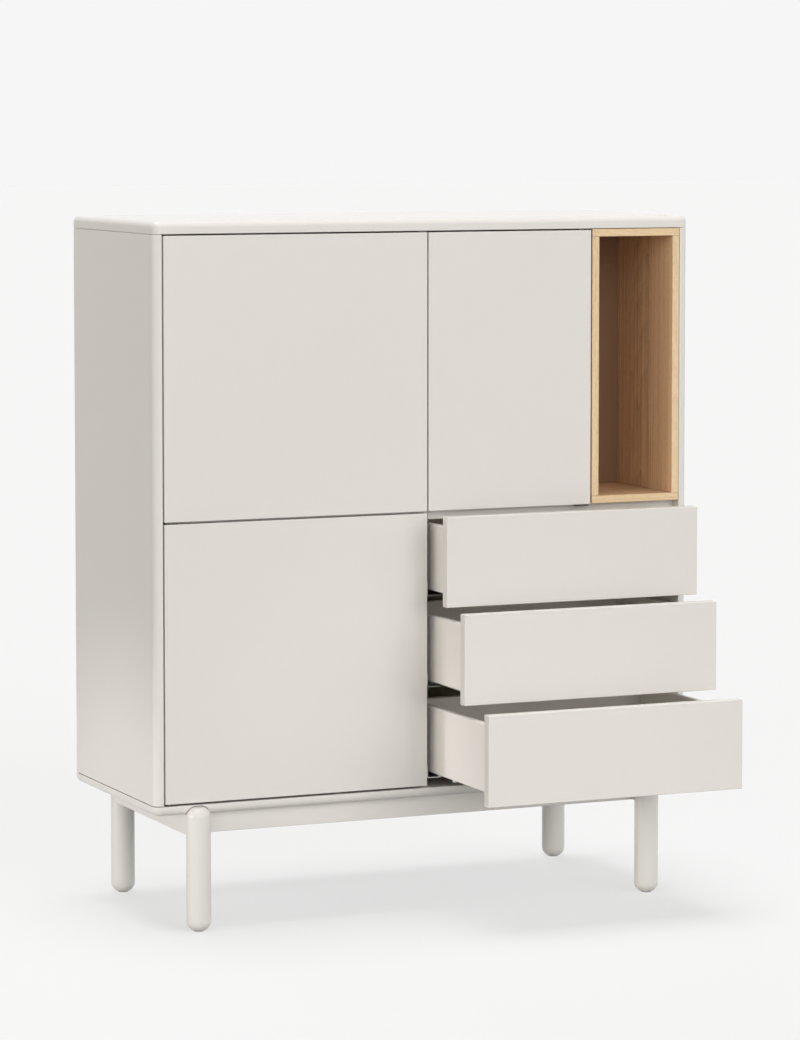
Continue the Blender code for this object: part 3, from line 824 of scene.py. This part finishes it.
def end_arc(core, centre, end_round, start, end):
    """Points of a leg's rounded end, between two angles from straight up."""
    turns = spaced(start, end, LEG_ROUND_STEPS + 1)
    return [(core + end_round * math.sin(turn), centre + end_round * math.cos(turn)) for turn in turns]


def dome(radius, end_round, top):
    """Half outline of a leg's domed end, from its axis out to the full radius."""
    return [(0.0, top)] + end_arc(radius - end_round, top - end_round, end_round, 0.0, math.pi / 2)


def turned_at(leg, outline):
    """An outline spun about a leg's axis."""
    place = middle(leg)
    return turned(outline, LEG_SIDES, (place.x, place.y, 0.0))


class SIDEBOARD_OT_bottom_panel(bpy.types.Operator):
    """Bottom board with its rounded rim and the coves for the front legs"""

    bl_idname = "sideboard.bottom_panel"
    bl_label = "Bottom Board"

    def execute(self, context):
        builder = slab("bottom_panel", False, sizes().bottom_round)
        tools = [pin_bore("lower_left_pivot_pin")]
        for side in SIDES:
            leg = f"front_{side}_leg"
            low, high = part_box(leg)
            radius = radius_of(leg) + COVE_ROOM
            outline = dome(radius, sizes().leg_round + COVE_ROOM, high.z + COVE_ROOM)
            tools.append(turned_at(leg, outline + [(radius, low.z), (0.0, low.z)]))
        lacquered("bottom_panel", carved(builder, tools))
        return {"FINISHED"}


def shelf_pin_places(door, face):
    """Where the pins stand under one end of the loose shelf behind a door."""
    low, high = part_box(f"{door}_shelf")
    height = low.z - sizes().shelf_pin_radius - SEAT
    rows = (low.y + SHELF_PIN_FROM_END, high.y - SHELF_PIN_FROM_END)
    return [Vector((face, row, height)) for row in rows]


def shelf_bores(doors, face, into):
    """Tools for the bores under the loose shelves behind some doors; into is the way into the board."""
    wanted = sizes()
    radius = wanted.shelf_pin_radius + SHELF_PIN_ROOM
    start, end = sorted((face - into * SHELF_BORE_START, face + into * wanted.shelf_pin_depth))
    tools = []
    for door in doors:
        for place in shelf_pin_places(door, face):
            for step in (-1, 0, 1):
                spot = Vector((face, place.y, place.z + step * wanted.shelf_pin_pitch))
                tools.append(rod(radius, start, end, spot, X, sides=BORE_SIDES))
    return tools


class SIDEBOARD_OT_side_panels(bpy.types.Operator):
    """Left and right sides, rounded at the front corner, with shelf pin bores"""

    bl_idname = "sideboard.side_panels"
    bl_label = "Sides"

    def execute(self, context):
        for side in SIDES:
            node = f"{side}_side_panel"
            low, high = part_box(node)
            builder = box_between((low.x, low.y, low.z + sizes().bottom_seam), high)
            round_corner(builder, low.x if side == "left" else high.x, low.y)
            soften(builder, sizes().board_arris)
            if side == "left":
                builder = carved(builder, shelf_bores(LEFT_DOORS, high.x, -1))
            lacquered(node, builder)
        return {"FINISHED"}


class SIDEBOARD_OT_inner_boards(bpy.types.Operator):
    """Dividers, fixed shelves and loose shelves"""

    bl_idname = "sideboard.inner_boards"
    bl_label = "Dividers and Shelves"

    def execute(self, context):
        arris = sizes().board_arris
        low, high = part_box("centre_divider")
        bores = shelf_bores(LEFT_DOORS, low.x, 1) + shelf_bores(MIDDLE_DOORS, high.x, -1)
        lacquered("centre_divider", carved(softened_box(low, high, arris), bores))
        low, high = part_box("niche_divider")
        bores = shelf_bores(MIDDLE_DOORS, low.x, 1)
        lacquered("niche_divider", carved(softened_box(low, high, arris), bores))
        room = Vector((SEAT, SEAT, SEAT))
        for plate, node, _ in PIVOT_PLATES:
            plate_low, plate_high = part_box(plate)
            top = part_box(node)[1].z
            recess = box_between(plate_low - room, Vector((plate_high.x, plate_high.y, top)) + room)
            lacquered(node, carved(softened(node, arris), [recess]))
        for door in DOORS:
            node = f"{door}_shelf"
            lacquered(node, softened(node, arris))
        return {"FINISHED"}


class SIDEBOARD_OT_shelf_pins(bpy.types.Operator):
    """Steel pins under the loose shelves"""

    bl_idname = "sideboard.shelf_pins"
    bl_label = "Shelf Pins"

    def execute(self, context):
        wanted = sizes()
        for door, walls in SHELF_WALLS.items():
            left, right = (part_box(wall) for wall in walls)
            pins = []
            for face, out in ((left[1].x, 1), (right[0].x, -1)):
                tip = face + out * wanted.shelf_pin_reach
                start, end = sorted((tip, face - out * (wanted.shelf_pin_depth - SEAT)))
                for place in shelf_pin_places(door, face):
                    pins.append(rod(wanted.shelf_pin_radius, start, end, place, X, SHELF_PIN_CHAMFER))
            piece(f"{door}_shelf_pins", gathered(pins), [steel()], "cabinet")
        return {"FINISHED"}


class SIDEBOARD_OT_back_panel(bpy.types.Operator):
    """Painted back, let in between the sides, and its screws"""

    bl_idname = "sideboard.back_panel"
    bl_label = "Back"

    def execute(self, context):
        low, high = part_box("back_panel")
        builder = softened_box(low, high, sizes().board_arris / 2)
        # The back takes the backing, whose warmth is partly painted shade
        finished("back_panel", builder, [backing_with_painted_shade()])
        divider, shelf = middle("centre_divider").x, middle("left_fixed_shelf").z
        heights = spaced(low.z + SCREW_FROM_EDGE, high.z - SCREW_FROM_EDGE, BACK_SCREW_ROWS)
        places = [Vector((divider, high.y, height)) for height in heights]
        left, right = low.x + SCREW_FROM_EDGE, high.x - SCREW_FROM_EDGE
        for start, end in ((left, divider - SCREW_FROM_EDGE), (divider + SCREW_FROM_EDGE, right)):
            columns = spaced(start, end, BACK_SCREW_COLUMNS)
            places += [Vector((column, high.y, shelf)) for column in columns]
        screws("back_panel_screws", places, (0, 1, 0))
        return {"FINISHED"}


# Oak niche


class SIDEBOARD_OT_niche(bpy.types.Operator):
    """Oak niche: veneered boards with paler solid front edges"""

    bl_idname = "sideboard.niche"
    bl_label = "Oak Niche"

    def execute(self, context):
        for board, kind in OAK_KIND.items():
            node = f"niche_{board}_board"
            builder = softened(node, sizes().oak_arris)
            bmesh.ops.recalc_face_normals(builder, faces=builder.faces)
            finishes = [oak(kind)]
            if kind in OAK_EDGES:
                finishes.append(oak_edge(kind))
                for face in builder.faces:
                    face.material_index = int(face.normal.y < FRONT_FACING)
            finished(node, builder, finishes)
        return {"FINISHED"}


# Base frame and legs


class SIDEBOARD_OT_base_frame(bpy.types.Operator):
    """Rails under the cabinet, coped to the legs"""

    bl_idname = "sideboard.base_frame"
    bl_label = "Base Frame"

    def execute(self, context):
        arris = sizes().front_arris
        for side in SIDES:
            node = f"{side}_base_rail"
            low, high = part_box(node)
            legs = [f"{end}_{side}_leg" for end in ENDS]
            start, stop = (middle(leg).y for leg in legs)
            builder = softened_box((low.x, start, low.z), (high.x, stop, high.z), arris)
            tools = []
            for leg in legs:
                radius = radius_of(leg) + SEAT
                tools.append(rod(radius, low.z - SEAT, high.z + SEAT, middle(leg), sides=LEG_SIDES))
            lacquered(node, carved(builder, tools))
        for end in ENDS:
            node = f"{end}_base_rail"
            lacquered(node, softened(node, arris))
        return {"FINISHED"}


def foot(radius):
    """Half outline of a leg's lower end, from the full radius in to the flat that the glide sits on."""
    wanted = sizes()
    core = radius - wanted.leg_round
    rest = math.asin((wanted.glide_radius - core) / wanted.leg_round)
    centre = wanted.glide_height + wanted.leg_round * math.cos(rest)
    points = end_arc(core, centre, wanted.leg_round, math.pi / 2, math.pi - rest)
    return points + [(0.0, wanted.glide_height)]


class SIDEBOARD_OT_legs(bpy.types.Operator):
    """Turned legs and the felt glides under them"""

    bl_idname = "sideboard.legs"
    bl_label = "Legs"

    def execute(self, context):
        wanted = sizes()
        glide_top = wanted.glide_height - SEAT
        for end in ENDS:
            for side in SIDES:
                node = f"{end}_{side}_leg"
                low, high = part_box(node)
                radius = radius_of(node)
                if end == "front":
                    outline = dome(radius, wanted.leg_round, high.z)
                else:
                    rim = radius - LEG_TOP_CHAMFER
                    outline = [(0.0, high.z), (rim, high.z), (radius, high.z - LEG_TOP_CHAMFER)]
                lacquered(node, turned_at(node, outline + foot(radius)))
                glide = rod(wanted.glide_radius, low.z, glide_top, middle(node), Z, GLIDE_CHAMFER, DISC_SIDES)
                piece(f"{end}_{side}_glide", glide, [felt()], "cabinet")
        return {"FINISHED"}


# Doors, pivots and latches


class SIDEBOARD_OT_doors(bpy.types.Operator):
    """Flush doors with softened edges, bores for their pivots and strike plates"""

    bl_idname = "sideboard.doors"
    bl_label = "Doors"

    def execute(self, context):
        hinges = {joint["child"]: joint for joint in frame["joints"]}
        radius = PIN_RADIUS + sizes().pin_room
        depth = PIN_REACH + sizes().pin_room
        plate = sizes().strike_radius
        for door in DOORS:
            node = f"{door}_door"
            low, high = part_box(node)
            pivot = hinges[body_of(node)]["pos_m"]
            hinge_line = (pivot[0], pivot[1], 0.0)
            bores = [rod(radius, end - depth, end + depth, hinge_line) for end in (low.z, high.z)]
            spot = middle(f"{door}_latch_plunger")
            floor = high.y - STRIKE_DEPTH
            bores.append(rod(plate + STRIKE_ROOM, floor, high.y + STRIKE_DEPTH, spot, Y, sides=DISC_SIDES))
            lacquered(node, carved(softened_box(low, high, sizes().front_arris), bores))
            strike = rod(plate, floor + STRIKE_ROOM, high.y + STRIKE_PROUD, spot, Y, STRIKE_ROOM, DISC_SIDES)
            piece(f"{door}_strike_plate", strike, [steel()], body_of(node))
        return {"FINISHED"}


class SIDEBOARD_OT_pivots(bpy.types.Operator):
    """Pivot pins and plates of the doors, with the plates' screws"""

    bl_idname = "sideboard.pivots"
    bl_label = "Pivots"

    def execute(self, context):
        for door in DOORS:
            node = f"{door}_pivot_pin"
            low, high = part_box(node)
            pin = rod(radius_of(node), low.z, high.z, middle(node), chamfer=PIN_CHAMFER)
            # The pins take steel darkened as painted shade for the door gaps
            finished(node, pin, [shade_darkened_pivot_steel()])
        for node, shelf, side in PIVOT_PLATES:
            for slot in frame["nodes"][node].material_slots:
                # The plates take the same steel, darkened as painted shade
                slot.material = shade_darkened_pivot_steel()
            low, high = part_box(node)
            hinge = low.x + PLATE_PIN_INSET if side > 0 else high.x - PLATE_PIN_INSET
            across = hinge + side * PLATE_SCREW_ASIDE
            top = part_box(shelf)[1].z - PLATE_BELOW_SHELF
            places = [Vector((across, high.y - back, top)) for back in PLATE_SCREW_FROM_END]
            screws(f"{node}_screws", places, (0, 0, 1))
        return {"FINISHED"}


class SIDEBOARD_OT_latches(bpy.types.Operator):
    """Push latches with their plungers and screws"""

    bl_idname = "sideboard.latches"
    bl_label = "Push Latches"

    def execute(self, context):
        for door in DOORS:
            body, plunger = f"{door}_latch_body", f"{door}_latch_plunger"
            low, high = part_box(plunger)
            radius, place = radius_of(plunger), middle(plunger)
            bore = rod(radius + LATCH_BORE_ROOM, low.y - SEAT, high.y + LATCH_BORE_ROOM, place, Y)
            finished(body, carved(softened(body, LATCH_ROUND), [bore]), [plastic()])
            tip = rod(radius, low.y, high.y, place, Y, PLUNGER_CHAMFER)
            finished(plunger, tip, [steel()])
            shell_low, shell_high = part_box(body)
            out = 1 if door in MIDDLE_DOORS else -1
            face = shell_high.x if out > 0 else shell_low.x
            places = [Vector((face, shell_high.y - LATCH_SCREW_FROM_END, middle(body).z))]
            screws(f"{door}_latch_screw", places, (out, 0, 0))
        return {"FINISHED"}


# Drawers and runners


def wall_outline(low, high, thick):
    """A drawer's two sides and back, seen from above."""
    return [
        (low.x, low.y),
        (low.x + thick, low.y),
        (low.x + thick, high.y - thick),
        (high.x - thick, high.y - thick),
        (high.x - thick, low.y),
        (high.x, low.y),
        (high.x, high.y),
        (low.x, high.y),
    ]


class SIDEBOARD_OT_drawers(bpy.types.Operator):
    """Drawer fronts, walls made paler as painted light, and bottoms whose warm tone is partly painted shade
    """

    bl_idname = "sideboard.drawers"
    bl_label = "Drawers"

    def execute(self, context):
        for drawer in DRAWERS:
            front, walls, bottom = (f"{drawer}_{part}" for part in ("front", "walls", "bottom"))
            lacquered(front, softened(front, sizes().front_arris))
            low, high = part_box(walls)
            builder = prism(wall_outline(low, high, DRAWER_WALL), (X, Y), low.z, high.z)
            rim = [edge for edge in builder.edges if lies_at(edge, Z, high.z) and not lies_at(edge, Y, low.y)]
            round_over(builder, rim, sizes().wall_round, WALL_ROUND_STEPS)
            # The walls take a cream paler than the lacquer, painted light for the light on their sides
            finished(walls, builder, [foil_with_painted_light()])
            # The bottoms take the backing, whose warmth is partly painted shade
            finished(bottom, softened(bottom, sizes().board_arris / 2), [backing_with_painted_shade()])
        return {"FINISHED"}


def folded(path, thick, inner):
    """The outline of a sheet folded along a square path, with its thickness on the left and rounded folds."""
    right_side, left_side = [], []
    last = len(path) - 1
    for index, place in enumerate(path):
        here = Vector(place)
        if index in (0, last):
            near = Vector(path[1 if index == 0 else last - 1])
            run = (near - here if index == 0 else here - near).normalized()
            left = Vector((-run.y, run.x))
            right_side.append(here)
            left_side.append(here + left * thick)
            continue
        come = (here - Vector(path[index - 1])).normalized()
        go = (Vector(path[index + 1]) - here).normalized()
        turning_left = come.x * go.y - come.y * go.x > 0
        toward = Vector((-come.y, come.x)) if turning_left else Vector((come.y, -come.x))
        reach = inner + thick if turning_left else inner
        centre = here - come * reach + toward * reach
        near_radius, far_radius = (reach, inner) if turning_left else (inner, inner + thick)
        for turn in spaced(0.0, math.pi / 2, FOLD_STEPS + 1):
            way = -toward * math.cos(turn) + come * math.sin(turn)
            right_side.append(centre + way * near_radius)
            left_side.append(centre + way * far_radius)
    return [tuple(place) for place in right_side + left_side[::-1]]


def folded_rail(node, path):
    """A rail of folded sheet steel, by its path seen from the front."""
    low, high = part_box(node)
    outline = folded(path, sizes().sheet, sizes().fold_round)
    finished(node, prism(outline, (X, Z), low.y, high.y), [steel()])


def cabinet_rail(drawer, side):
    """A runner's rail on the cabinet: a flange on the wall, a floor and the track for the drawer's rail."""
    node = f"{drawer}_{side}_cabinet_rail"
    low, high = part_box(node)
    sheet, inward = sizes().sheet, INWARD[side]
    wall, track = (low.x, high.x) if side == "left" else (high.x, low.x)
    near = track - inward * (sizes().track_width - sheet)
    far = track - inward * sheet
    track_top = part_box(f"{drawer}_{side}_drawer_rail")[1].z - sheet - SEAT
    fold = track_top - sheet
    path = [(wall, high.z), (wall, low.z), (near, low.z), (near, fold), (far, fold), (far, low.z)]
    folded_rail(node, path if side == "left" else path[::-1])


def drawer_rail(drawer, side):
    """A runner's rail on the drawer, which caps the track."""
    node = f"{drawer}_{side}_drawer_rail"
    low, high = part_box(node)
    folded_rail(node, [(high.x, low.z), (high.x, high.z), (low.x, high.z), (low.x, low.z)])


def rail_screws(drawer, side):
    """The screws that hold a runner to the cabinet."""
    low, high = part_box(f"{drawer}_{side}_cabinet_rail")
    wall = low.x if side == "left" else high.x
    face = wall + INWARD[side] * sizes().sheet
    height = (low.z + high.z + sizes().sheet) / 2
    places = [Vector((face, low.y + back, height)) for back in RAIL_SCREW_FROM_END]
    screws(f"{drawer}_{side}_rail_screws", places, (INWARD[side], 0, 0))


def rail_clips(drawer, side):
    """The nylon clips beside a drawer's rail, under the drawer's wall."""
    wanted, inward = sizes(), INWARD[side]
    rail = f"{drawer}_{side}_drawer_rail"
    low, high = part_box(rail)
    outer = low.x if side == "left" else high.x
    left, right = sorted((outer - inward * SEAT, outer - inward * (SEAT + wanted.clip_width)))
    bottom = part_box(f"{drawer}_{side}_cabinet_rail")[0].z + wanted.sheet + CLIP_OVER_RAIL
    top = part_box(f"{drawer}_walls")[0].z - CLIP_UNDER_WALL
    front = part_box(f"{drawer}_front")[0].y
    clips = []
    for back in CLIP_BEHIND_FRONT:
        start = front + back - wanted.clip_length / 2
        end = start + wanted.clip_length
        clips.append(softened_box((left, start, bottom), (right, end, top), CLIP_ROUND))
    piece(f"{drawer}_{side}_clips", gathered(clips), [nylon()], body_of(rail))


class SIDEBOARD_OT_runners(bpy.types.Operator):
    """Folded steel runners under the drawers, with their screws and nylon clips"""

    bl_idname = "sideboard.runners"
    bl_label = "Runners"

    def execute(self, context):
        for drawer in DRAWERS:
            for side in SIDES:
                cabinet_rail(drawer, side)
                drawer_rail(drawer, side)
                rail_screws(drawer, side)
                rail_clips(drawer, side)
        return {"FINISHED"}


# Stage: floor, light and camera


def seen(nodes):
    """1 for rays that look at the surround straight, in a gloss or through glass."""
    ways = ("Camera", "Glossy", "Transmission")
    straight, gloss, through = (nodes.node("ShaderNodeLightPath", output=f"Is {way} Ray") for way in ways)
    return straight.math("MAXIMUM", gloss).math("MAXIMUM", through)


def lay_floor():
    builder = bmesh.new()
    bmesh.ops.create_grid(builder, x_segments=1, y_segments=1, size=FLOOR_REACH)
    bmesh.ops.translate(builder, vec=(0, 0, -FLOOR_DROP), verts=builder.verts)
    floor = placed("studio_floor", mesh_of(builder, "studio_floor"))
    material = bpy.data.materials.new("studio_floor")
    nodes = NodeTree(material)
    lit = nodes.node("ShaderNodeBsdfDiffuse", None, {"Color": solid(palette().floor)})
    own = nodes.mix(seen(nodes), (0.0, 0.0, 0.0), palette().glow)
    glow = nodes.node("ShaderNodeEmission", None, {"Color": own, "Strength": 1.0})
    both = nodes.node("ShaderNodeAddShader", None, {0: lit, 1: glow})
    nodes.node("ShaderNodeOutputMaterial", None, {"Surface": both})
    floor.data.materials.append(material)


def set_surround():
    world = bpy.data.worlds.new("studio_surround")
    bpy.context.scene.world = world
    nodes = NodeTree(world)
    pale = nodes.node("ShaderNodeBackground", None, {"Color": solid(palette().backdrop), "Strength": 1.0})
    all_round = solid(palette().all_round_light)
    soft = nodes.node("ShaderNodeBackground", None, {"Color": all_round, "Strength": AMBIENT})
    mixed = nodes.node("ShaderNodeMixShader", None, {0: seen(nodes), 1: soft, 2: pale})
    nodes.node("ShaderNodeOutputWorld", None, {"Surface": mixed})


def lamp(name, kind, tint, energy, toward):
    """A lamp of one kind; toward is the way from what it lights to the lamp."""
    item = placed(name, bpy.data.lights.new(name, kind))
    item.data.color = tint
    item.data.energy = energy
    item.rotation_euler = toward.to_track_quat("Z", "Y").to_euler()
    return item


def hang_sun(name, tint, share, azimuth, elevation, spread, mirrored):
    """A far soft lamp; azimuth turns right from the cabinet's front, and share is its part of full light."""
    turn, rise = math.radians(azimuth), math.radians(elevation)
    toward = Vector((math.sin(turn) * math.cos(rise), -math.cos(turn) * math.cos(rise), math.sin(rise)))
    sun = lamp(name, "SUN", getattr(palette(), tint), share * math.pi, toward)
    sun.data.angle = math.radians(spread)
    sun.visible_glossy = mirrored


def stand_spot(name, power, place, aim, cone, soft_edge, size):
    """A spot lamp on a stand, aimed at a point."""
    spot = lamp(name, "SPOT", palette().plain_light, power, Vector(place) - Vector(aim))
    spot.location = place
    spot.data.spot_size = math.radians(cone)
    spot.data.spot_blend = soft_edge
    spot.data.shadow_soft_size = size


def place_camera():
    data = bpy.data.cameras.new("photo_camera")
    data.sensor_width = CAMERA_SENSOR
    data.lens = CAMERA_LENS
    data.shift_y = CAMERA_SHIFT
    data.clip_end = CAMERA_REACH
    camera = placed("photo_camera", data)
    camera.location = CAMERA_PLACE
    camera.rotation_euler = (math.pi / 2 - CAMERA_PITCH, 0.0, -CAMERA_YAW)
    bpy.context.scene.camera = camera


class SIDEBOARD_OT_stage(bpy.types.Operator):
    """Pale floor, soft light and the camera"""

    bl_idname = "sideboard.stage"
    bl_label = "Stage"

    def execute(self, context):
        context.scene.view_settings.view_transform = "Standard"
        lay_floor()
        set_surround()
        for sun in SUNS:
            hang_sun(*sun)
        for spot in SPOTS:
            stand_spot(*spot)
        place_camera()
        return {"FINISHED"}


class SIDEBOARD_PT_panel(bpy.types.Panel):
    """Lists the steps that dress the sideboard"""

    bl_idname = "SIDEBOARD_PT_panel"
    bl_label = "Tall Sideboard"
    bl_space_type = "VIEW_3D"
    bl_region_type = "UI"
    bl_category = "Sideboard"

    def draw(self, context):
        for step in STEPS:
            self.layout.operator(step.bl_idname)
        for group in (context.scene.sideboard_sizes, context.scene.sideboard_colours):
            for name in group.__annotations__:
                self.layout.prop(group, name)


STEPS = (
    SIDEBOARD_OT_top_panel,
    SIDEBOARD_OT_bottom_panel,
    SIDEBOARD_OT_side_panels,
    SIDEBOARD_OT_inner_boards,
    SIDEBOARD_OT_shelf_pins,
    SIDEBOARD_OT_back_panel,
    SIDEBOARD_OT_niche,
    SIDEBOARD_OT_base_frame,
    SIDEBOARD_OT_legs,
    SIDEBOARD_OT_doors,
    SIDEBOARD_OT_pivots,
    SIDEBOARD_OT_latches,
    SIDEBOARD_OT_drawers,
    SIDEBOARD_OT_runners,
    SIDEBOARD_OT_stage,
)
CLASSES = (SideboardSizes, SideboardColours, *STEPS, SIDEBOARD_PT_panel)


def register():
    for item in CLASSES:
        bpy.utils.register_class(item)
    bpy.types.Scene.sideboard_sizes = bpy.props.PointerProperty(type=SideboardSizes)
    bpy.types.Scene.sideboard_colours = bpy.props.PointerProperty(type=SideboardColours)


def unregister():
    del bpy.types.Scene.sideboard_colours
    del bpy.types.Scene.sideboard_sizes
    for item in reversed(CLASSES):
        bpy.utils.unregister_class(item)


def main():
    register()
    for step in STEPS:
        group, name = step.bl_idname.split(".")
        getattr(getattr(bpy.ops, group), name)()


if __name__ == "__main__":
    main()
